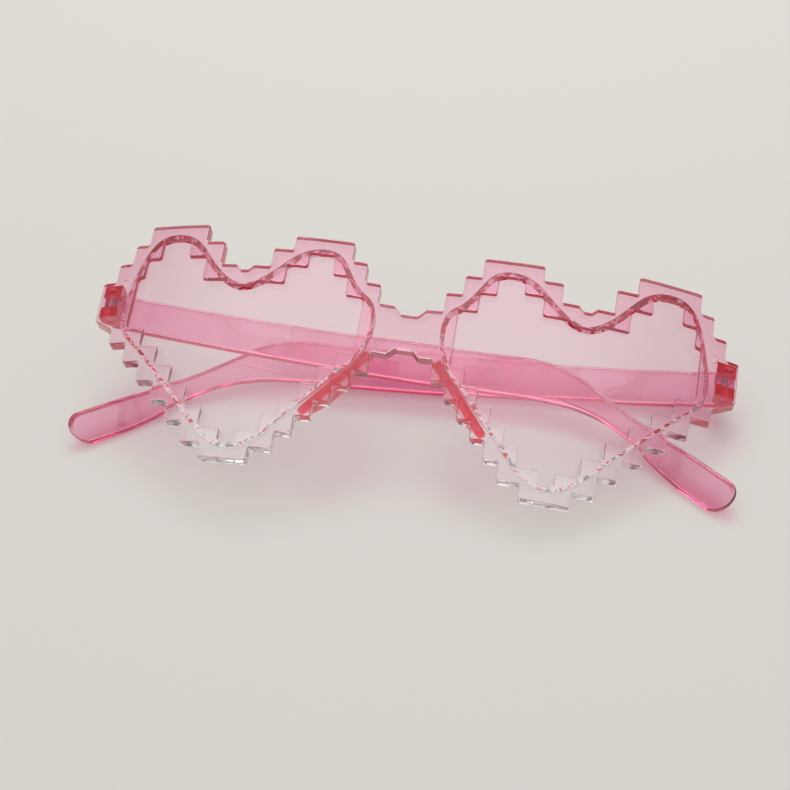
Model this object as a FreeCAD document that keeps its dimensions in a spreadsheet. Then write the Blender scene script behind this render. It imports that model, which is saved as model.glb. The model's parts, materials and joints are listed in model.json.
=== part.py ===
import FreeCAD, Part
import math
import os
from FreeCAD import Placement, Rotation, Vector

# Stepped heart sunglasses, folded and lying face up.
# The pieces are drawn in the front's own frame: X runs across the face towards
# the wearer's left, Y up to the brow and Z forward out of the lenses.  At the end
# every piece takes the same placement, which lays the folded pair on a table.

SIZES = {
    # front plate
    "front_width": 145.0,        # end to end across both endpieces
    "plate_wall": 3.2,
    "wrap_radius": 112.0,        # curve of each eye, front face
    "apex_offset": 18.7,         # centre plane to the foremost line of an eye
    "bridge_radius": 24.0,       # hollow curve that joins the two eyes
    "rim_width": 3.75,
    # stepped outline, heights from the eye line
    "bridge_top": 9.6,
    "bridge_bottom": 1.4,
    "bridge_flat": 3.8,
    "bridge_chamfer": 1.7,
    "nose_gap": 13.6,            # clear width between the hearts under the bridge
    "nose_ledge_height": -0.3,
    "nose_corner_height": -5.2,
    "stair_riser": 4.55,
    "notch_ledge_height": 17.1,
    "notch_chamfer": 1.2,
    "notch_flat": 1.6,
    "outer_lobe_top": 27.0,
    "endpiece_bottom": 3.9,
    "endpiece_slant": 3.0,
    "side_corner_height": -2.4,
    "chin_height": -28.85,
    "chin_width": 10.8,
    "chin_tread": 5.0,
    "chin_riser": 3.2,
    "corner_round": 0.6,
    "edge_round": 0.3,           # edges of the front face
    # lenses
    "lens_lip": 1.4,             # plate left in front of the lens
    "lens_wall": 1.6,
    "lens_lap": 0.6,             # lens past the corners of its opening
    "lens_fit": 0.05,            # round the lens and before it
    "lens_bevel": 1.0,           # back edge of the lens, which leads it into its seat
    # moulded nose pads
    "pad_wall": 2.0,
    "pad_round": 0.8,
    "pad_depth": 5.5,
    "pad_length": 20.2,
    "pad_head": 3.4,             # pad past the nose corner, towards the bridge
    "pad_root_inset": 3.75,      # root and tip inside the corners of the nose flight
    "pad_tip_inset": 2.95,
    # hinges
    "hinge_inset": 3.1,          # hinge axis in from the end of the front
    "hinge_height": 9.4,         # middle of the hinge above the eye line
    "knuckle_radius": 2.2,
    "knuckle_height": 2.6,
    "hinge_gap": 0.15,           # between stacked knuckles
    "swing_gap": 0.4,            # round a turning knuckle
    "screw_diameter": 1.3,
    "screw_fit": 0.04,
    "screw_head_diameter": 2.4,
    "screw_head_height": 0.8,
    "screw_end_gap": 0.5,        # screw short of the lowest knuckle's end
    # temples
    "temple_wall": 2.6,
    "temple_round": 0.7,
    "temple_rise": 0.7,          # middle of the arm above the middle of the hinge
    "temple_length": 150.0,      # hinge to tip along the middle line
    "temple_bend_start": 93.8,   # hinge to the start of the ear bend
    "temple_bend_radius": 37.3,
    "temple_bow_radius": 532.0,  # long inward curve of the straight arm
    "temple_curl_radius": 119.0, # tighter inward curve behind the ear
    "temple_end_height": 8.1,
    "temple_arm_height": 9.6,
    "temple_neck_height": 4.4,
    "temple_paddle_height": 7.0,
    "temple_paddle_length": 12.0,
    "temple_heel": 0.6,          # arm past the hinge axis
    # moulding marks
    "mark_diameter": 2.0,
    "mark_depth": 0.2,
    "nose_mark_offset": 6.8,
    "nose_mark_height": 1.6,
    "side_mark_inset": 6.3,
    "side_mark_height": 13.4,
    # working allowances
    "cut_overrun": 4.0,          # cutting shapes past what they cut
    "contact_step": 0.02,        # fineness of the points that find the table
}
TEMPLE_DROP = 2.0                # degrees, arm below square to the hinge axis
EAR_ANGLE = 36.5                 # degrees, ear bend
RIGHT_FOLD = -4.9                # degrees, inner (right) temple short of square
LEFT_FOLD = -9.85                # degrees, outer (left) temple short of square
STAIR_STEPS = 3
KNUCKLES = 3                     # two on the front, one on the temple between them
FIRST_LEAN = 30.0                # degrees, first guess of the lean on the table
SETTLE_ROUNDS = 8
SQUARE_LIMIT = 0.5               # cosine that parts square corners from chamfered ones
FLIGHT_STEPS = 5
NOTCH_STEP_SHARE = 0.43          # first step down from a lobe, of its drop to the notch
NOSE_TREAD_SHARE = 0.0503        # steps across the brow, of the half width
NOTCH_TREAD_SHARE = 0.0628
NOTCH_LEDGE_SHARE = 0.0524
END_TREAD_SHARE = 0.0448
ENDPIECE_SHARE = 0.0703          # endpiece past the side of the heart, of the half width
INNER_LOBE_SHARE = 0.4836        # inner lobe, of the width that the steps leave for both lobes
CHIN_SHARE = 0.4554              # middle of the chin, from the heart's nose side to its outer side
ROUND_SHARE = 0.45               # longest corner round, of the shorter side that it takes
PAD_HEEL_SHARE = 0.4             # pad depth at its root, of its greatest depth
PAD_CROWN_SHARE = 0.55           # deepest point along the pad
NECK_SHARE = 0.45                # narrowest point along the ear piece
TIP_ROUND_SHARE = 0.42           # length of the rounded tip, of the paddle height

doc = FreeCAD.newDocument("stepped_heart_sunglasses")
sheet = doc.addObject("Spreadsheet::Sheet", "sizes")
for row, (alias, value) in enumerate(SIZES.items(), start=1):
    sheet.set(f"A{row}", alias)
    sheet.set(f"B{row}", str(value))
    sheet.setAlias(f"B{row}", alias)
doc.recompute()


def size(alias):
    return float(sheet.get(alias))


half_width = size("front_width") / 2
heart_side = half_width * (1 - ENDPIECE_SHARE)
brow_tread = half_width * NOSE_TREAD_SHARE
notch_tread = half_width * NOTCH_TREAD_SHARE
notch_ledge = half_width * NOTCH_LEDGE_SHARE
end_tread = half_width * END_TREAD_SHARE
nose_side = size("nose_gap") / 2
chin_middle = nose_side + CHIN_SHARE * (heart_side - nose_side)
chin_nose = chin_middle - size("chin_width") / 2
chin_side = chin_middle + size("chin_width") / 2
chin_step_height = size("chin_height") + size("chin_riser")
overrun = size("cut_overrun")
top_limit = size("outer_lobe_top") + overrun
bottom_limit = size("chin_height") - overrun


def stairs(start, across, rise, steps):
    """Corner points of a flight of steps that starts with a run."""
    points = []
    for step in range(steps):
        points.append((start[0] + across * (step + 1), start[1] + rise * step))
        points.append((start[0] + across * (step + 1), start[1] + rise * (step + 1)))
    return points


# Outline of one eye, from the bridge over the brow to the heart's side
bridge_half = size("bridge_flat") / 2
stair_foot = (bridge_half + size("bridge_chamfer"), size("bridge_top") + size("bridge_chamfer"))
nose_stair = stairs(stair_foot, brow_tread, size("stair_riser"), STAIR_STEPS)
lobe_start, lobe_top = nose_stair[-1]
notch_width = 2 * (notch_tread + notch_ledge + size("notch_chamfer")) + size("notch_flat")
outer_end = half_width - STAIR_STEPS * end_tread
lobes_width = outer_end - lobe_start - notch_width
lobe_end = lobe_start + INNER_LOBE_SHARE * lobes_width
ledge = size("notch_ledge_height")
inner_tread = lobe_top - NOTCH_STEP_SHARE * (lobe_top - ledge)
ledge_start = lobe_end + notch_tread
notch_start = ledge_start + notch_ledge
notch_low = ledge - size("notch_chamfer")
flat_start = notch_start + size("notch_chamfer")
flat_end = flat_start + size("notch_flat")
notch_end = flat_end + size("notch_chamfer")
ledge_end = notch_end + notch_ledge
outer_top = size("outer_lobe_top")
outer_tread = outer_top - NOTCH_STEP_SHARE * (outer_top - ledge)
outer_start = ledge_end + notch_tread
end_stair = []
for end_step in range(STAIR_STEPS):
    end_stair.append((outer_end + end_tread * end_step,
                      outer_top - size("stair_riser") * (end_step + 1)))
    end_stair.append((outer_end + end_tread * (end_step + 1),
                      outer_top - size("stair_riser") * (end_step + 1)))
brow = nose_stair + [
    (lobe_end, lobe_top), (lobe_end, inner_tread),
    (ledge_start, inner_tread), (ledge_start, ledge),
    (notch_start, ledge), (flat_start, notch_low), (flat_end, notch_low), (notch_end, ledge),
    (ledge_end, ledge), (ledge_end, outer_tread),
    (outer_start, outer_tread), (outer_start, outer_top), (outer_end, outer_top),
]

# Lower flights of steps, from the heart's side to the chin and up to the nose
side_tread = (heart_side - chin_side - size("chin_tread")) / FLIGHT_STEPS
side_riser = (size("side_corner_height") - chin_step_height) / FLIGHT_STEPS
nose_tread = (chin_nose - size("chin_tread") - nose_side) / FLIGHT_STEPS
nose_riser = (size("nose_corner_height") - chin_step_height) / FLIGHT_STEPS
side_flight = [(heart_side, size("side_corner_height"))]
side_flight += stairs(side_flight[0], -side_tread, -side_riser, FLIGHT_STEPS)
nose_flight = [(nose_side, size("nose_corner_height"))]
nose_flight += stairs(nose_flight[0], nose_tread, -nose_riser, FLIGHT_STEPS)
chin = [(chin_side, chin_step_height), (chin_side, size("chin_height")),
        (chin_nose, size("chin_height")), (chin_nose, chin_step_height)]

endpiece = [(half_width, size("endpiece_bottom")),
            (heart_side, size("endpiece_bottom") - size("endpiece_slant"))]
ledge_low = size("nose_ledge_height")
bridge_rise = size("bridge_bottom") - ledge_low
bridge_low = [(nose_side, ledge_low), (bridge_half + bridge_rise, ledge_low),
              (bridge_half, size("bridge_bottom"))]
half_outline = ([(bridge_half, size("bridge_top")), stair_foot] + brow + end_stair + endpiece
                + side_flight + chin + nose_flight[::-1] + bridge_low)
front_outline = half_outline + [(-across, height) for across, height in reversed(half_outline)]

# One eye closed at the nose and at the endpiece: its openings are drawn inside it
eye_outline = ([(nose_side, nose_stair[1][1])] + brow[2:] + end_stair[:3]
               + [(heart_side, end_stair[3][1])] + side_flight + chin + nose_flight[::-1])


def inset(points, distance):
    """A clockwise outline with every side moved inwards."""
    moved = []
    count = len(points)
    for index in range(count):
        (ax, ay), (bx, by), (cx, cy) = points[index - 1], points[index], points[(index + 1) % count]
        first = Vector(bx - ax, by - ay, 0).normalize()
        second = Vector(cx - bx, cy - by, 0).normalize()
        first_normal = Vector(first.y, -first.x, 0)
        second_normal = Vector(second.y, -second.x, 0)
        bisector = first_normal + second_normal
        shift = bisector * (distance / (1 + first_normal.dot(second_normal)))
        moved.append((bx + shift.x, by + shift.y))
    return moved


def square_corners(points):
    """Outward square corners of a clockwise stepped outline."""
    corners = []
    count = len(points)
    for index in range(count):
        (ax, ay), (bx, by), (cx, cy) = points[index - 1], points[index], points[(index + 1) % count]
        first = Vector(bx - ax, by - ay, 0).normalize()
        second = Vector(cx - bx, cy - by, 0).normalize()
        if first.cross(second).z < 0 and first.dot(second) < SQUARE_LIMIT:
            corners.append((bx, by))
    return corners


def lens_edge(allowance):
    """Smooth heart through the corners of the stepped opening, with a lap round them."""
    reach = size("rim_width") - size("lens_lap") - allowance
    corners = square_corners(inset(eye_outline, reach))
    notch_middle = ((flat_start + flat_end) / 2, notch_low - reach)
    after = max(index for index, corner in enumerate(corners) if corner[0] < notch_middle[0]
                and corner[1] > notch_middle[1])
    corners.insert(after + 1, notch_middle)
    curve = Part.BSplineCurve()
    curve.interpolate([Vector(across, height, 0) for across, height in corners], PeriodicFlag=True)
    return Part.Wire([curve.toShape()])


def rounded(points):
    """A closed outline with its corners rounded."""
    corners = [Vector(across, height, 0) for across, height in points]
    count = len(corners)
    arcs = []
    for index, corner in enumerate(corners):
        before = corners[index - 1] - corner
        after = corners[(index + 1) % count] - corner
        half_angle = before.getAngle(after) / 2
        cut = min(size("corner_round") / math.tan(half_angle),
                  ROUND_SHARE * min(before.Length, after.Length))
        start = corner + before.normalize() * cut
        end = corner + after.normalize() * cut
        inward = (before + after).normalize()
        middle = corner + inward * (cut * (1 - math.sin(half_angle)) / math.cos(half_angle))
        arcs.append((start, middle, end))
    edges = []
    for index, (start, middle, end) in enumerate(arcs):
        edges.append(Part.makeLine(arcs[index - 1][2], start))
        edges.append(Part.Arc(start, middle, end).toShape())
    return Part.Wire(edges)


front_limit = overrun
back_limit = -(size("wrap_radius") / 2)


def prism(wire):
    """A flat outline carried right through the front, from before to behind."""
    face = Part.Face(wire)
    face.translate(Vector(0, 0, back_limit))
    return face.extrude(Vector(0, 0, front_limit - back_limit))


# The front's section: an arc for each eye, joined by a hollow arc at the bridge
wrap = size("wrap_radius")
apex = size("apex_offset")
bridge_centre = -wrap + math.sqrt((wrap + size("bridge_radius")) ** 2 - apex ** 2)
toward_bridge = Vector(-apex, 0, bridge_centre + wrap).normalize()


def section_depth(across, below):
    """Height of the surface that lies a given depth below the front face."""
    radius = wrap - below
    return math.sqrt(radius ** 2 - (across - apex) ** 2) - wrap


def section_edges(below):
    """The section's arcs a given depth below the front face, from right to left."""
    reach = half_width + overrun
    middle = (reach + apex) / 2
    end = Vector(reach, 0, section_depth(reach, below))
    between = Vector(middle, 0, section_depth(middle, below))
    tangent = Vector(apex, 0, -wrap) + toward_bridge * (wrap - below)
    hollow = Vector(0, 0, bridge_centre - size("bridge_radius") - below)

    def opposite(point):
        return Vector(-point.x, 0, point.z)

    return [Part.Arc(end, between, tangent).toShape(),
            Part.Arc(tangent, hollow, opposite(tangent)).toShape(),
            Part.Arc(opposite(tangent), opposite(between), opposite(end)).toShape()]


def section_solid(edges_before, edges_behind):
    """The slab between two section lines, from below the chin to above the brow."""
    before, behind = Part.Wire(edges_before), Part.Wire(edges_behind)
    ends_before = [before.OrderedVertexes[0].Point, before.OrderedVertexes[-1].Point]
    ends_behind = [behind.OrderedVertexes[0].Point, behind.OrderedVertexes[-1].Point]
    caps = [Part.makeLine(ends_before[0], ends_behind[0]),
            Part.makeLine(ends_before[1], ends_behind[1])]
    face = Part.Face(Part.Wire(Part.__sortEdges__(edges_before + edges_behind + caps)))
    face.translate(Vector(0, bottom_limit, 0))
    return face.extrude(Vector(0, top_limit - bottom_limit, 0))


def slab(below_front, below_back):
    return section_solid(section_edges(below_front), section_edges(below_back))


def mirrored(shape):
    return shape.mirror(Vector(0, 0, 0), Vector(1, 0, 0))


# Hinge axis, a knuckle's swing behind the plate
plate_wall = size("plate_wall")
knuckle = size("knuckle_radius")
hinge = half_width - size("hinge_inset")
axis_depth = section_depth(hinge, plate_wall + knuckle + size("swing_gap"))
knuckle_height = size("knuckle_height")
stack_bottom = size("hinge_height") - KNUCKLES * knuckle_height / 2
stack_top = size("hinge_height") + KNUCKLES * knuckle_height / 2
screw_radius = size("screw_diameter") / 2
head_radius = size("screw_head_diameter") / 2


def upright(radius, bottom, top):
    """A round bar on the left hinge axis."""
    return Part.makeCylinder(radius, top - bottom, Vector(hinge, bottom, axis_depth), Vector(0, 1, 0))


def hinge_lug(bottom, top):
    """One of the front's two knuckles, carried into the middle of the plate."""
    corner = Vector(hinge - knuckle, bottom, axis_depth)
    root = Part.makeBox(2 * knuckle, top - bottom, -axis_depth, corner)
    return upright(knuckle, bottom, top).fuse(root)


def nose_pad():
    """A fin on the back of the rim beside the nose, deepest near its middle."""
    corner = Vector(nose_side, size("nose_corner_height"), 0)
    flight = (Vector(*nose_flight[-1], 0) - corner).normalize()
    inward = Vector(-flight.y, flight.x, 0)
    root = corner - flight * size("pad_head") + inward * size("pad_root_inset")
    tip = (corner + flight * (size("pad_length") - size("pad_head"))
           + inward * size("pad_tip_inset"))
    along = tip - root
    depth = plate_wall + size("pad_depth")
    heel = plate_wall + size("pad_depth") * PAD_HEEL_SHARE
    back = Vector(0, 0, -depth)
    crown = root + along * PAD_CROWN_SHARE + back
    heel_point = root + Vector(0, 0, -heel)
    curve = Part.Arc(heel_point, crown, tip + Vector(0, 0, -plate_wall)).toShape()
    edges = [Part.makeLine(root, heel_point), curve,
             Part.makeLine(tip + Vector(0, 0, -plate_wall), tip), Part.makeLine(tip, root)]
    face = Part.Face(Part.Wire(edges))
    across = along.cross(Vector(0, 0, 1)).normalize() * size("pad_wall")
    face.translate(across / -2)
    fin = face.extrude(across)
    ridges = [edge for edge in fin.Edges if isinstance(edge.Curve, Part.Circle)]
    return fin.makeFillet(size("pad_round"), ridges)


def front_edges(plate):
    """Edges of the front face, round its outline and round its two openings."""
    edges = []
    for face in plate.Faces:
        curved = isinstance(face.Surface, Part.Cylinder)
        if curved and any(math.isclose(face.Surface.Radius, radius)
                          for radius in (wrap, size("bridge_radius"))):
            edges += face.Edges
    codes = [edge.hashCode() for edge in edges]
    return [edge for edge, code in zip(edges, codes) if codes.count(code) == 1]


half_plate = section_edges(plate_wall / 2)
back_line = Part.makeLine(Vector(half_width + overrun, 0, back_limit),
                          Vector(-half_width - overrun, 0, back_limit))
behind_plate = section_solid(half_plate, [back_line])
seat_depth = plate_wall + size("pad_depth") + overrun
opening = prism(rounded(inset(eye_outline, size("rim_width"))))
lens_seat = prism(lens_edge(size("lens_fit"))).common(slab(size("lens_lip"), seat_depth))
lugs = [hinge_lug(stack_bottom, stack_bottom + knuckle_height),
        hinge_lug(stack_top - knuckle_height, stack_top)]
screw_way = upright(screw_radius + size("screw_fit"), stack_bottom - overrun, stack_top + overrun)
head_seat = upright(head_radius + size("screw_fit"), stack_top - size("screw_head_height"),
                    stack_top + overrun)


def moulding_mark(across, height):
    depth = section_depth(across, plate_wall - size("mark_depth"))
    return Part.makeCylinder(size("mark_diameter") / 2, overrun,
                             Vector(across, height, depth), Vector(0, 0, -1))


marks = [moulding_mark(size("nose_mark_offset"), size("nose_mark_height")),
         moulding_mark(half_width - size("side_mark_inset"), size("side_mark_height"))]
additions = [piece.common(behind_plate) for piece in lugs + [nose_pad()]]
cuts = [lens_seat, screw_way, head_seat] + marks
front_shape = slab(0, plate_wall).common(prism(rounded(front_outline)))
front_shape = front_shape.cut([opening, mirrored(opening)])
front_shape = front_shape.makeFillet(size("edge_round"), front_edges(front_shape))
front_shape = front_shape.fuse(additions + [mirrored(piece) for piece in additions])
front_shape = front_shape.cut(cuts + [mirrored(piece) for piece in cuts]).removeSplitter()

lens_front = size("lens_lip") + size("lens_fit")
lens_back = lens_front + size("lens_wall")
lens_blank = prism(lens_edge(0)).common(slab(lens_front, lens_back))
lens_rim = []
for lens_face in lens_blank.Faces:
    curved = isinstance(lens_face.Surface, Part.Cylinder)
    if curved and math.isclose(lens_face.Surface.Radius, wrap - lens_back):
        lens_rim += lens_face.Edges
lens_shape = lens_blank.makeChamfer(size("lens_bevel"), lens_rim).Solids[0]


# Temple, drawn along its own arm: X from the hinge to the ear, Y up, Z to the wearer
def middle_line(distance):
    """Place and heading of the temple's middle line, seen from the side."""
    drop = math.radians(TEMPLE_DROP)
    bend = math.radians(EAR_ANGLE)
    start = size("temple_bend_start")
    radius = size("temple_bend_radius")
    turned = min(max((distance - start) / radius, 0), bend)
    straight = min(distance, start)
    after = max(distance - start - bend * radius, 0)
    heading = drop + turned
    along = (straight * math.cos(drop) + radius * (math.sin(heading) - math.sin(drop))
             + after * math.cos(heading))
    fall = (straight * math.sin(drop) + radius * (math.cos(drop) - math.cos(heading))
            + after * math.sin(heading))
    rise = size("temple_rise")
    return Vector(along, rise - fall, 0), Vector(math.sin(heading), math.cos(heading), 0)


def temple_side():
    """Side view of the temple, filled."""
    length = size("temple_length")
    bend_start = size("temple_bend_start")
    ear = length - bend_start
    stations = [(-size("temple_heel"), size("temple_end_height")),
                (bend_start, size("temple_arm_height")),
                (bend_start + ear * NECK_SHARE, size("temple_neck_height")),
                (length - size("temple_paddle_length"), size("temple_paddle_height")),
                (length - size("temple_paddle_height") * TIP_ROUND_SHARE, size("temple_paddle_height"))]
    upper, lower = [], []
    for distance, height in stations:
        place, up = middle_line(distance)
        upper.append(place + up * (height / 2))
        lower.append(place - up * (height / 2))
    tip, _ = middle_line(length)
    arm_top = Part.makeLine(upper[0], upper[1])
    arm_low = Part.makeLine(lower[0], lower[1])
    ear_top, ear_low = Part.BSplineCurve(), Part.BSplineCurve()
    _, up = middle_line(length)
    heading = Vector(up.y, -up.x, 0)
    ear_top.interpolate(upper[1:], InitialTangent=upper[1] - upper[0], FinalTangent=heading * ear)
    ear_low.interpolate(lower[1:], InitialTangent=lower[1] - lower[0], FinalTangent=heading * ear)
    round_tip = Part.Arc(upper[-1], tip, lower[-1])
    edges = [arm_top, ear_top.toShape(), round_tip.toShape(), ear_low.toShape(), arm_low,
             Part.makeLine(lower[0], upper[0])]
    return Part.Face(Part.Wire(Part.__sortEdges__(edges)))


def temple_plan(outward):
    """Arcs of the temple seen from above, a given distance outside the hinge axis."""
    bow, curl = size("temple_bow_radius"), size("temple_curl_radius")
    turn = size("temple_bend_start") / bow
    curl_turn = (size("temple_length") + overrun - size("temple_bend_start")) / curl
    lead = -size("temple_heel") / bow

    def on_bow(angle):
        return Vector((bow + outward) * math.sin(angle), 0, bow - (bow + outward) * math.cos(angle))

    def on_curl(angle):
        centre = Vector((bow - curl) * math.sin(turn), 0, bow - (bow - curl) * math.cos(turn))
        return centre + Vector((curl + outward) * math.sin(angle), 0, -(curl + outward) * math.cos(angle))

    return [Part.Arc(on_bow(lead), on_bow((lead + turn) / 2), on_bow(turn)).toShape(),
            Part.Arc(on_curl(turn), on_curl(turn + curl_turn / 2), on_curl(turn + curl_turn)).toShape()]


def temple():
    inner_face = knuckle + size("swing_gap")
    outer_face = inner_face + size("temple_wall")
    inner, outer = temple_plan(inner_face), temple_plan(outer_face)
    inner_ends = [inner[0].Vertexes[0].Point, inner[1].Vertexes[-1].Point]
    outer_ends = [outer[0].Vertexes[0].Point, outer[1].Vertexes[-1].Point]
    caps = [Part.makeLine(inner_ends[0], outer_ends[0]), Part.makeLine(inner_ends[1], outer_ends[1])]
    reach = size("temple_length")
    band_face = Part.Face(Part.Wire(Part.__sortEdges__(inner + outer + caps)))
    band_face.translate(Vector(0, -reach, 0))
    band = band_face.extrude(Vector(0, 2 * reach, 0))
    side = temple_side()
    side.translate(Vector(0, 0, -reach))
    arm = side.extrude(Vector(0, 0, 2 * reach)).common(band)
    arm = arm.makeFillet(size("temple_round"), arm.Edges)
    eye_bottom = -knuckle_height / 2 + size("hinge_gap")
    eye_height = knuckle_height - 2 * size("hinge_gap")
    barrel = Part.makeCylinder(knuckle, eye_height, Vector(0, eye_bottom, 0), Vector(0, 1, 0))
    web_depth = inner_face + size("temple_wall") / 2
    web = Part.makeBox(knuckle + size("temple_heel"), eye_height, web_depth,
                       Vector(-size("temple_heel"), eye_bottom, -web_depth))
    bore = Part.makeCylinder(screw_radius + size("screw_fit"), knuckle_height,
                             Vector(0, -knuckle_height / 2, 0), Vector(0, 1, 0))
    return arm.fuse([barrel, web]).cut(bore).removeSplitter()


def folded(shape, angle):
    """A left temple swung about its hinge, folded behind the front."""
    placed = shape.mirror(Vector(0, 0, 0), Vector(1, 0, 0))
    placed.rotate(Vector(0, 0, 0), Vector(0, 1, 0), angle)
    placed.translate(Vector(hinge, size("hinge_height"), axis_depth))
    return placed


temple_shape = temple()
left_temple_shape = folded(temple_shape, LEFT_FOLD)
right_temple_shape = mirrored(folded(temple_shape, RIGHT_FOLD))


def settle(groups):
    """Upward direction in which the lowest points of three groups lie level."""
    lean = math.radians(FIRST_LEAN)
    up = Vector(0, math.sin(lean), math.cos(lean))
    for _ in range(SETTLE_ROUNDS):
        low = [min(group, key=up.dot) for group in groups]
        up = (low[1] - low[0]).cross(low[2] - low[0]).normalize()
        if up.z < 0:
            up = -up
    return up


def resting_placement(shapes):
    """Lays the folded pair on the table: both ears and the outer arm touch it."""
    left_points, _ = left_temple_shape.tessellate(size("contact_step"))
    right_points, _ = right_temple_shape.tessellate(size("contact_step"))
    ear_start = hinge - size("temple_bend_start")
    left_arm = [point for point in left_points if point.x > ear_start]
    left_ear = [point for point in left_points if point.x < ear_start]
    up = settle([left_arm, left_ear, right_points])
    across = (Vector(1, 0, 0) - up * up.x).normalize()
    back = up.cross(across)
    turn = Rotation(FreeCAD.Matrix(across.x, across.y, across.z, 0, back.x, back.y, back.z, 0,
                                   up.x, up.y, up.z, 0, 0, 0, 0, 1))
    turned = Part.makeCompound(shapes)
    turned.Placement = Placement(Vector(0, 0, 0), turn)
    box = turned.optimalBoundingBox(False, False)
    return Placement(Vector(-box.Center.x, -box.Center.y, -box.ZMin), turn)


def add_piece(name, shape):
    piece = doc.addObject("Part::Feature", name)
    piece.Label = name
    piece.Shape = shape
    return piece


def add_screw(name, across):
    """A hinge screw: head and shank both hang from the top of the hinge."""
    downward = Placement(Vector(across, stack_top, axis_depth), Rotation(Vector(1, 0, 0), 90))
    shank = doc.addObject("Part::Cylinder", name + "_shank")
    shank.setExpression("Radius", "sizes.screw_diameter / 2")
    shank.setExpression("Height", f"{KNUCKLES} * sizes.knuckle_height - sizes.screw_end_gap")
    shank.Placement = downward
    head = doc.addObject("Part::Cylinder", name + "_head")
    head.setExpression("Radius", "sizes.screw_head_diameter / 2")
    head.setExpression("Height", "sizes.screw_head_height")
    head.Placement = downward
    screw = doc.addObject("Part::Fuse", name)
    screw.Label = name
    screw.Base = shank
    screw.Tool = head
    return screw


pieces = [add_piece("front_frame", front_shape),
          add_piece("left_lens", lens_shape), add_piece("right_lens", mirrored(lens_shape)),
          add_piece("left_temple", left_temple_shape), add_piece("right_temple", right_temple_shape),
          add_screw("left_hinge_screw", hinge), add_screw("right_hinge_screw", -hinge)]
doc.recompute()
resting = resting_placement([piece.Shape for piece in pieces])
for piece in pieces:
    piece.Placement = resting.multiply(piece.Placement)
for item in doc.Objects:
    if "Invalid" in item.State or "Error" in item.State:
        raise RuntimeError(item.Name + " did not build")
os.makedirs("parts", exist_ok=True)
for piece in pieces:
    if piece.Shape.isNull() or not piece.Shape.isValid():
        raise RuntimeError(piece.Label + " has no sound shape")
    piece.Shape.exportStep("parts/" + piece.Label + ".step")
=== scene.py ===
import json
import math

import bpy
from mathutils import Matrix, Vector

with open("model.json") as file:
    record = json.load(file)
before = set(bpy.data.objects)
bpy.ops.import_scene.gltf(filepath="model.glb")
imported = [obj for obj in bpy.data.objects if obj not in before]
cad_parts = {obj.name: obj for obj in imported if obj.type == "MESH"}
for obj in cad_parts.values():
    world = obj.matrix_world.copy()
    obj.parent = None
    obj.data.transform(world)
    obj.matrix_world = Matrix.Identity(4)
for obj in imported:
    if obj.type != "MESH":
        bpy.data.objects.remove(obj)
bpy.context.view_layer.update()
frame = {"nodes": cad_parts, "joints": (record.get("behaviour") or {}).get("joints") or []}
nodes = frame["nodes"]
scene = bpy.context.scene
scene.view_settings.view_transform = "Standard"

MM = 0.001

# The front's own frame at rest, from its two hinges: across the face to the wearer's left, up
# to the brow and out of the lenses. Its origin is on the eye line, level with the foremost
# lines of the two eyes.
HINGE_ABOVE_EYES = 13.3 * MM
HINGE_BEHIND_EYES = 18.684 * MM
hinges = {joint["name"]: joint for joint in frame["joints"]}
left_hinge = Vector(hinges["left_temple_hinge"]["pos_m"])
right_hinge = Vector(hinges["right_temple_hinge"]["pos_m"])
UP = Vector(hinges["right_temple_hinge"]["axis"]).normalized()
ACROSS = (left_hinge - right_hinge).normalized()
OUT = ACROSS.cross(UP)
EYE_LINE = (left_hinge + right_hinge) / 2 - UP * HINGE_ABOVE_EYES + OUT * HINGE_BEHIND_EYES

# Heights from the eye line
BROW_HEIGHT = 27 * MM
FULL_DYE_HEIGHT = 0.75 * BROW_HEIGHT
CHIN_HEIGHT = -28.85 * MM

# Each half of the front plate is wrapped round an upright axis behind its eye
WRAP_RADIUS = 112 * MM
WRAP_AXIS_ASIDE = 18.7 * MM
PLATE_WALL = 3.2 * MM
PLATE_BACK = WRAP_RADIUS - PLATE_WALL
PAD_ROOT = 0.15 * PLATE_WALL     # depth in which a pad's colour comes up

COLOURS = {"data_type": "RGBA"}
SHARE, FIRST, SECOND = 0, 6, 7   # inputs of a mix of colours


def linear(hex_colour):
    """sRGB hex to linear RGBA."""
    channels = [int(hex_colour[at:at + 2], 16) / 255 for at in (0, 2, 4)]
    return [c / 12.92 if c <= 0.04045 else ((c + 0.055) / 1.055) ** 2.4
            for c in channels] + [1.0]


def add(tree, kind, settings=(), inputs=()):
    """A node with its settings.

    An input is a value, another node's output, or a node, for its first output in use.
    """
    made = tree.nodes.new("ShaderNode" + kind)
    for name, value in dict(settings).items():
        setattr(made, name, value)
    for name, value in dict(inputs).items():
        if isinstance(value, bpy.types.Node):
            value = next(output for output in value.outputs if output.enabled)
        if isinstance(value, bpy.types.NodeSocket):
            tree.links.new(value, made.inputs[name])
        else:
            made.inputs[name].default_value = value
    return made


def new_material(name):
    material = bpy.data.materials.new(name)
    material.use_nodes = True
    material.node_tree.nodes.clear()
    return material, material.node_tree


# All clear pieces: polished polycarbonate
POLYCARBONATE_IOR = 1.58
POLISHED = 0.03
CLEAR_SKIN = linear("fefefe")
CLEAR_LAMPS = linear("f6f4f4")   # light that a lamp keeps through one clear skin
OUTER_WALL_LIGHT = 0.2                # share of a side wall that shows painted light, seen from outside
INNER_WALL_LIGHT = 0.92               # and seen through the plastic
PLATE_SLANT = (0.86, 0.55)       # how far a broad face and a side wall still look out of the lenses

# Part of the tint is in the skins' colour and part in a dye inside: what the dye takes of red,
# green and blue light
DYE_TAKES = (0.04, 1.0, 0.57)
DYE_KEEPS = [1 - taken for taken in DYE_TAKES] + [1.0]


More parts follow.
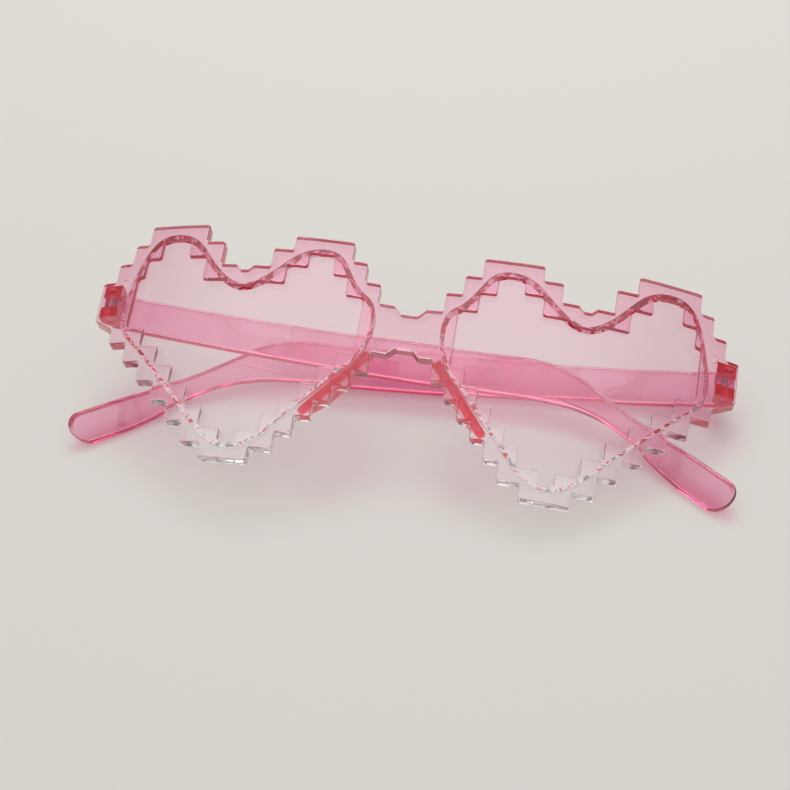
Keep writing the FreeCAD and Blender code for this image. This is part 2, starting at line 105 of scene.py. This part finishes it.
def along(tree, place, direction):
    """How far a place lies from the eye line's middle along a direction."""
    offset = add(tree, "VectorMath", {"operation": "SUBTRACT"}, {0: place, 1: EYE_LINE})
    return add(tree, "VectorMath", {"operation": "DOT_PRODUCT"}, {0: offset, 1: direction})


def fade(tree, place):
    """0 at the chin, rising to 1 under the brow's upper edge."""
    return add(tree, "MapRange", {"interpolation_type": "SMOOTHSTEP"},
               {"Value": along(tree, place, UP), "From Min": CHIN_HEIGHT,
                "From Max": FULL_DYE_HEIGHT})


def behind_plate(tree, place):
    """1 in what stands behind the front's plate: nose pads and hinge knuckles."""
    across = add(tree, "Math", {"operation": "ABSOLUTE"}, {0: along(tree, place, ACROSS)})
    aside = add(tree, "Math", {"operation": "SUBTRACT"}, {0: across, 1: WRAP_AXIS_ASIDE})
    ahead = add(tree, "Math", {"operation": "ADD"},
                {0: along(tree, place, OUT), 1: WRAP_RADIUS})
    from_axis = add(tree, "CombineXYZ", {}, {0: aside, 1: ahead})
    radius = add(tree, "VectorMath", {"operation": "LENGTH"}, {0: from_axis})
    return add(tree, "MapRange", {}, {"Value": radius, "From Min": PLATE_BACK,
                                      "From Max": PLATE_BACK - PAD_ROOT})


def side_walls(tree, slant):
    """1 on the narrow walls that stand across a sheet, 0 on its broad faces."""
    broad_from, narrow_to = slant
    normal = add(tree, "TexCoord").outputs["Normal"]
    facing = add(tree, "VectorMath", {"operation": "DOT_PRODUCT"}, {0: normal, 1: OUT})
    broad = add(tree, "Math", {"operation": "ABSOLUTE"}, {0: facing})
    return add(tree, "MapRange", {}, {"Value": broad, "From Min": broad_from,
                                      "From Max": narrow_to})


def clear_plastic(tree, skin, lamps_kept, painted_walls, outer_painted_light, inner_painted_light, density, ripple=None):
    """Clear plastic with a dye inside, whose side walls carry painted light; lamps shine through it
    unbent.

    A side wall is partly diffuse and coloured: painted light that stands in for the dyed light
    run to it by internal reflection, seen from outside and through the plastic.
    """
    inside = add(tree, "NewGeometry").outputs["Backfacing"]
    # Painted light on the side walls: one colour seen from outside, another seen through the
    # plastic
    painted_wall_colour = add(tree, "Mix", COLOURS, {SHARE: inside, FIRST: outer_painted_light, SECOND: inner_painted_light})
    colour = add(tree, "Mix", COLOURS, {SHARE: painted_walls, FIRST: skin, SECOND: painted_wall_colour})
    wall_light_share = add(tree, "MapRange", {}, {"Value": inside, "To Min": OUTER_WALL_LIGHT,
                                       "To Max": INNER_WALL_LIGHT})
    painted_share = add(tree, "Math", {"operation": "MULTIPLY"}, {0: painted_walls, 1: wall_light_share})
    clearness = add(tree, "Math", {"operation": "SUBTRACT"}, {0: 1.0, 1: painted_share})
    finish = {"Base Color": colour, "Roughness": POLISHED, "IOR": POLYCARBONATE_IOR,
              "Transmission Weight": clearness}
    if ripple:
        finish["Normal"] = ripple
    plastic = add(tree, "BsdfPrincipled", {}, finish)
    path = add(tree, "LightPath").outputs
    lamp_ray = add(tree, "Math", {"operation": "MAXIMUM"},
                   {0: path["Is Shadow Ray"], 1: path["Is Diffuse Ray"]})
    lamps = add(tree, "BsdfTransparent", {}, {"Color": lamps_kept})
    surface = add(tree, "MixShader", {}, {0: lamp_ray, 1: plastic, 2: lamps})
    dye = add(tree, "VolumeAbsorption", {}, {"Color": DYE_KEEPS, "Density": density})
    add(tree, "OutputMaterial", {}, {"Surface": surface, "Volume": dye})


FRONT_DENSITY = 25.0
PAD_DENSITY = 150.0              # more dye, for the depth of the thick pads and knuckles
BROW_SKIN = linear("fdd4e4")
BROW_LAMPS = linear("f6eaef")
# Painted light on the front's walls: pale painted highlights at the chin, painted pink glow and
# deep red painted internal reflection at the brow, painted red glow in pads and knuckles
CHIN_WALL_HIGHLIGHT = linear("f8eeef")
BROW_WALL_GLOW = linear("f9b3c4")
BROW_INNER_REFLECTION = linear("dc0e38")
PAD_INNER_GLOW = linear("ff2848")
WALL_LIGHT_STARTS, WALL_LIGHT_FULL = 0.4, 0.8    # along the fade
CHIN_WALL_LIGHT = 0.2                       # of the brow's
SWIRL_SIZE = 1.5 * MM
SWIRL_LOW, SWIRL_HIGH = 0.35, 0.65
LEAST_PAD_GLOW = 0.7


def moulded_front(name):
    """Clear injection-moulded polycarbonate, dyed pink at the brow and fading to none at the chin.

    The polished mould leaves its broad faces glass smooth. Its side walls carry painted light: pale
    painted highlights at the chin, deep red painted internal reflection at the brow. Nose pads and
    knuckles are thick and so deep red with dye, and their walls carry painted red glow as well.
    """
    material, tree = new_material(name)
    place = add(tree, "TexCoord").outputs["Object"]
    height = fade(tree, place)
    thick = behind_plate(tree, place)

    # Painted wall light, strongest at the brow
    wall_light_by_height = add(tree, "MapRange", {}, {
        "Value": height, "From Min": WALL_LIGHT_STARTS, "From Max": WALL_LIGHT_FULL, "To Min": CHIN_WALL_LIGHT})
    step_walls = add(tree, "Math", {"operation": "MULTIPLY"},
                     {0: side_walls(tree, PLATE_SLANT), 1: wall_light_by_height})
    # Streaks in the pads' painted glow
    swirls = add(tree, "TexNoise", {}, {"Vector": place, "Scale": 1 / SWIRL_SIZE, "Detail": 2.0})
    streaks = add(tree, "MapRange", {}, {
        "Value": swirls, "From Min": SWIRL_LOW, "From Max": SWIRL_HIGH, "To Min": LEAST_PAD_GLOW})
    pads = add(tree, "Math", {"operation": "MULTIPLY"}, {0: thick, 1: streaks})
    painted_walls = add(tree, "Math", {"operation": "MAXIMUM"}, {0: step_walls, 1: pads})

    skin = add(tree, "Mix", COLOURS, {SHARE: height, FIRST: CLEAR_SKIN, SECOND: BROW_SKIN})
    lamps_kept = add(tree, "Mix", COLOURS, {SHARE: height, FIRST: CLEAR_LAMPS, SECOND: BROW_LAMPS})
    reddest = add(tree, "Math", {"operation": "MAXIMUM"}, {0: height, 1: thick})
    # Painted light on the walls, seen from outside and from inside
    outer_painted_light = add(tree, "Mix", COLOURS, {SHARE: reddest, FIRST: CHIN_WALL_HIGHLIGHT, SECOND: BROW_WALL_GLOW})
    step_inner_reflection = add(tree, "Mix", COLOURS, {SHARE: height, FIRST: CHIN_WALL_HIGHLIGHT, SECOND: BROW_INNER_REFLECTION})
    inner_painted_light = add(tree, "Mix", COLOURS, {SHARE: thick, FIRST: step_inner_reflection, SECOND: PAD_INNER_GLOW})

    thick_dye = add(tree, "Math", {"operation": "MULTIPLY"}, {0: thick, 1: PAD_DENSITY})
    density = add(tree, "Math", {"operation": "MULTIPLY_ADD"},
                  {0: height, 1: FRONT_DENSITY, 2: thick_dye})
    clear_plastic(tree, skin, lamps_kept, painted_walls, outer_painted_light, inner_painted_light, density)
    return material


LENS_DENSITY = 30.0
LENS_SKIN = linear("fde4ee")     # at the brow, as the next
LENS_LAMPS = linear("f6eef1")
# Painted light along the lens rim: pale painted highlight, red painted glow, deep red painted
# internal reflection
LENS_EDGE_HIGHLIGHT = linear("fff6f6")
LENS_EDGE_GLOW = linear("ff1c3e")
LENS_EDGE_REFLECTION = linear("b40a2a")
LENS_SLANT = (0.92, 0.8)         # as PLATE_SLANT; takes in the bevel on the back edge
# coarser than real chips, so that the line shows as broken
BEAD_SIZE = 1.7 * MM             # size of the painted beads, so that the line shows as broken
BROW_BEADS = 0.12                # how much redder the painted beads are at the brow
RED_FROM, RED_FULL = 0.57, 0.6
DEEP_FROM, DEEP_FULL = 0.65, 0.68
BROKEN_BELOW, WHOLE_FROM = 0.37, 0.42
LEAST_EDGE_LIGHT = 0.3


def cut_lens(name):
    """Clear sheet with a fading pink dye, cut to the heart.

    Its faces are glass smooth; its rim carries a broken line of painted light: pale painted
    highlights, red painted glow and deep red painted internal reflection.
    """
    material, tree = new_material(name)
    place = add(tree, "TexCoord").outputs["Object"]
    height = fade(tree, place)

    edge_beads = add(tree, "TexNoise", {}, {"Vector": place, "Scale": 1 / BEAD_SIZE, "Detail": 1.0})
    whole = add(tree, "MapRange", {}, {"Value": edge_beads, "From Min": BROKEN_BELOW,
                                       "From Max": WHOLE_FROM, "To Min": LEAST_EDGE_LIGHT})
    painted_walls = add(tree, "Math", {"operation": "MULTIPLY"},
                {0: side_walls(tree, LENS_SLANT), 1: whole})

    # Which bead along the rim is a painted highlight, glow or reflection
    redness = add(tree, "Math", {"operation": "MULTIPLY_ADD"}, {0: height, 1: BROW_BEADS, 2: edge_beads})
    red = add(tree, "MapRange", {}, {"Value": redness, "From Min": RED_FROM, "From Max": RED_FULL})
    deep = add(tree, "MapRange", {}, {"Value": redness, "From Min": DEEP_FROM,
                                      "From Max": DEEP_FULL})
    pale_or_red = add(tree, "Mix", COLOURS, {SHARE: red, FIRST: LENS_EDGE_HIGHLIGHT, SECOND: LENS_EDGE_GLOW})
    inner_painted_light = add(tree, "Mix", COLOURS, {SHARE: deep, FIRST: pale_or_red, SECOND: LENS_EDGE_REFLECTION})

    skin = add(tree, "Mix", COLOURS, {SHARE: height, FIRST: CLEAR_SKIN, SECOND: LENS_SKIN})
    lamps_kept = add(tree, "Mix", COLOURS, {SHARE: height, FIRST: CLEAR_LAMPS, SECOND: LENS_LAMPS})
    density = add(tree, "Math", {"operation": "MULTIPLY"}, {0: height, 1: LENS_DENSITY})
    clear_plastic(tree, skin, lamps_kept, painted_walls, LENS_EDGE_HIGHLIGHT, inner_painted_light, density)
    return material


TEMPLE_DENSITY = 180.0
TEMPLE_PALE = linear("fdf0f5")
TEMPLE_PINK = linear("fbe6ee")
# Painted pink glow on the temples' side walls, for the light that runs along them
TEMPLE_WALL_GLOW = linear("ff80a6")
TEMPLE_WALL_LIGHT = 0.6               # of the front's
WAVE_LENGTH = 7 * MM
WAVE_DEPTH = 0.25 * MM
WAVE_STRENGTH = 0.5
WAVE_LOW, WAVE_HIGH = 0.3, 0.7


def moulded_temple(name):
    """Clear injection-moulded polycarbonate, dyed pink all through.

    The melt ran the length of the mould and left faint waves, which bend what lies behind it.
    """
    material, tree = new_material(name)
    place = add(tree, "TexCoord").outputs["Object"]
    waves = add(tree, "TexNoise", {}, {"Vector": place, "Scale": 1 / WAVE_LENGTH, "Detail": 2.0})
    ripple = add(tree, "Bump", {}, {"Strength": WAVE_STRENGTH, "Distance": WAVE_DEPTH,
                                    "Height": waves})
    dyed = add(tree, "MapRange", {}, {"Value": waves, "From Min": WAVE_LOW, "From Max": WAVE_HIGH})
    skin = add(tree, "Mix", COLOURS, {SHARE: dyed, FIRST: TEMPLE_PALE, SECOND: TEMPLE_PINK})
    # Side walls carry painted pink glow
    painted_walls = add(tree, "Math", {"operation": "MULTIPLY"},
                {0: side_walls(tree, PLATE_SLANT), 1: TEMPLE_WALL_LIGHT})
    clear_plastic(tree, skin, CLEAR_LAMPS, painted_walls, TEMPLE_WALL_GLOW, TEMPLE_WALL_GLOW, TEMPLE_DENSITY, ripple)
    return material


STEEL = linear("8f9092")
TOOL_MARKS = 0.4 * MM
STEEL_SMOOTH, STEEL_ROUGH = 0.22, 0.42


def turned_steel(name):
    """Plain steel screw, turned and lightly oiled, with a fine uneven gloss."""
    material, tree = new_material(name)
    place = add(tree, "TexCoord").outputs["Object"]
    grain = add(tree, "TexNoise", {}, {"Vector": place, "Scale": 1 / TOOL_MARKS, "Detail": 3.0})
    rough = add(tree, "MapRange", {}, {"Value": grain, "To Min": STEEL_SMOOTH,
                                       "To Max": STEEL_ROUGH})
    steel = add(tree, "BsdfPrincipled", {}, {"Base Color": STEEL, "Metallic": 1.0,
                                             "Roughness": rough})
    add(tree, "OutputMaterial", {}, {"Surface": steel})
    return material


def dress(name, material):
    piece = nodes[name]
    piece.data.materials.clear()
    piece.data.materials.append(material)


lens_plastic = cut_lens("clear_polycarbonate_lens")
temple_plastic = moulded_temple("pink_polycarbonate_temple")
screw_steel = turned_steel("turned_steel_screw")
dress("front_frame", moulded_front("clear_polycarbonate_front"))
for side in ("left", "right"):
    dress(side + "_lens", lens_plastic)
    dress(side + "_temple", temple_plastic)
    dress(side + "_hinge_screw", screw_steel)

# Camera, fitted to the corners of the stepped outline and to both temples
VIEW_AZIMUTH = math.radians(12.0)
VIEW_PITCH = math.radians(38.18)
VIEW_ROLL = math.radians(-3.41)
VIEW_PLACE = Vector((60.8, -289.5, 244.7)) * MM
VIEW_FOCUS_PIXELS = 1700
IMAGE_PIXELS = 790

forward = Vector((-math.sin(VIEW_AZIMUTH) * math.cos(VIEW_PITCH),
                  math.cos(VIEW_AZIMUTH) * math.cos(VIEW_PITCH), -math.sin(VIEW_PITCH)))
level = Vector((math.cos(VIEW_AZIMUTH), math.sin(VIEW_AZIMUTH), 0))
upward = level.cross(forward)
right = level * math.cos(VIEW_ROLL) + upward * math.sin(VIEW_ROLL)
top = upward * math.cos(VIEW_ROLL) - level * math.sin(VIEW_ROLL)
camera_data = bpy.data.cameras.new("photo_camera")
camera_data.sensor_width = 36
camera_data.lens = camera_data.sensor_width * VIEW_FOCUS_PIXELS / IMAGE_PIXELS
camera_data.clip_start = 10 * MM
camera = bpy.data.objects.new("photo_camera", camera_data)
camera.matrix_world = Matrix((
    (right.x, top.x, -forward.x, VIEW_PLACE.x), (right.y, top.y, -forward.y, VIEW_PLACE.y),
    (right.z, top.z, -forward.z, VIEW_PLACE.z), (0, 0, 0, 1)))
scene.collection.objects.link(camera)
scene.camera = camera

# Floor, a hair under the part, so that no faces share a plane
FLOOR_REACH = 4.0
FLOOR_GAP = 0.02 * MM
FLOOR_PAINT = linear("d8d4ce")
floor_mesh = bpy.data.meshes.new("floor")
floor_mesh.from_pydata([(-FLOOR_REACH, -FLOOR_REACH, 0), (FLOOR_REACH, -FLOOR_REACH, 0),
                        (FLOOR_REACH, FLOOR_REACH, 0), (-FLOOR_REACH, FLOOR_REACH, 0)],
                       [], [(0, 1, 2, 3)])
floor = bpy.data.objects.new("floor", floor_mesh)
floor.location.z = -FLOOR_GAP
scene.collection.objects.link(floor)
paint, paint_tree = new_material("matt_paint_floor")
matt = add(paint_tree, "BsdfPrincipled", {}, {"Base Color": FLOOR_PAINT, "Roughness": 0.7})
add(paint_tree, "OutputMaterial", {}, {"Surface": matt})
floor_mesh.materials.append(paint)

# Soft studio light: a white tent, brighter overhead, and one softbox high at the back
ZENITH = Vector((-0.04, -0.13, 0.99))
TENT_SIDE, TENT_TOP = 0.6, 0.98  # cosines from the zenith
SIDE_GLOW, TOP_GLOW = 0.34, 1.4
BACKDROP = 0.54                  # least glow that the camera sees, also in gloss and plastic
WHITE = (1, 1, 1, 1)
world = bpy.data.worlds.new("studio")
scene.world = world
world.use_nodes = True
tent = world.node_tree
tent.nodes.clear()
ray = add(tent, "TexCoord").outputs["Generated"]
overhead = add(tent, "VectorMath", {"operation": "DOT_PRODUCT"}, {0: ray, 1: ZENITH})
glow = add(tent, "MapRange", {"interpolation_type": "SMOOTHSTEP"},
           {"Value": overhead, "From Min": TENT_SIDE, "From Max": TENT_TOP,
            "To Min": SIDE_GLOW, "To Max": TOP_GLOW})
sight = add(tent, "LightPath").outputs
mirrored = add(tent, "Math", {"operation": "MAXIMUM"},
               {0: sight["Is Glossy Ray"], 1: sight["Is Transmission Ray"]})
seen = add(tent, "Math", {"operation": "MAXIMUM"}, {0: sight["Is Camera Ray"], 1: mirrored})
backdrop = add(tent, "Math", {"operation": "MULTIPLY"}, {0: seen, 1: BACKDROP})
strength = add(tent, "Math", {"operation": "MAXIMUM"}, {0: glow, 1: backdrop})
cloth = add(tent, "Background", {}, {"Color": WHITE, "Strength": strength})
add(tent, "OutputWorld", {}, {"Surface": cloth})

KEY_PLACE = Vector((-0.05, 0.5, 0.8))
KEY_WATTS = 3.0
key_data = bpy.data.lights.new("key_softbox", "AREA")
key_data.shape = "RECTANGLE"
key_data.size = 0.5
key_data.size_y = 0.4
key_data.energy = KEY_WATTS
key = bpy.data.objects.new("key_softbox", key_data)
key.location = KEY_PLACE
key.rotation_euler = (-KEY_PLACE).to_track_quat("-Z", "Y").to_euler()
scene.collection.objects.link(key)

# A ray meets many skins of clear plastic before it is out again
BOUNCES = 24
scene.cycles.max_bounces = BOUNCES
scene.cycles.transmission_bounces = BOUNCES
scene.cycles.transparent_max_bounces = BOUNCES
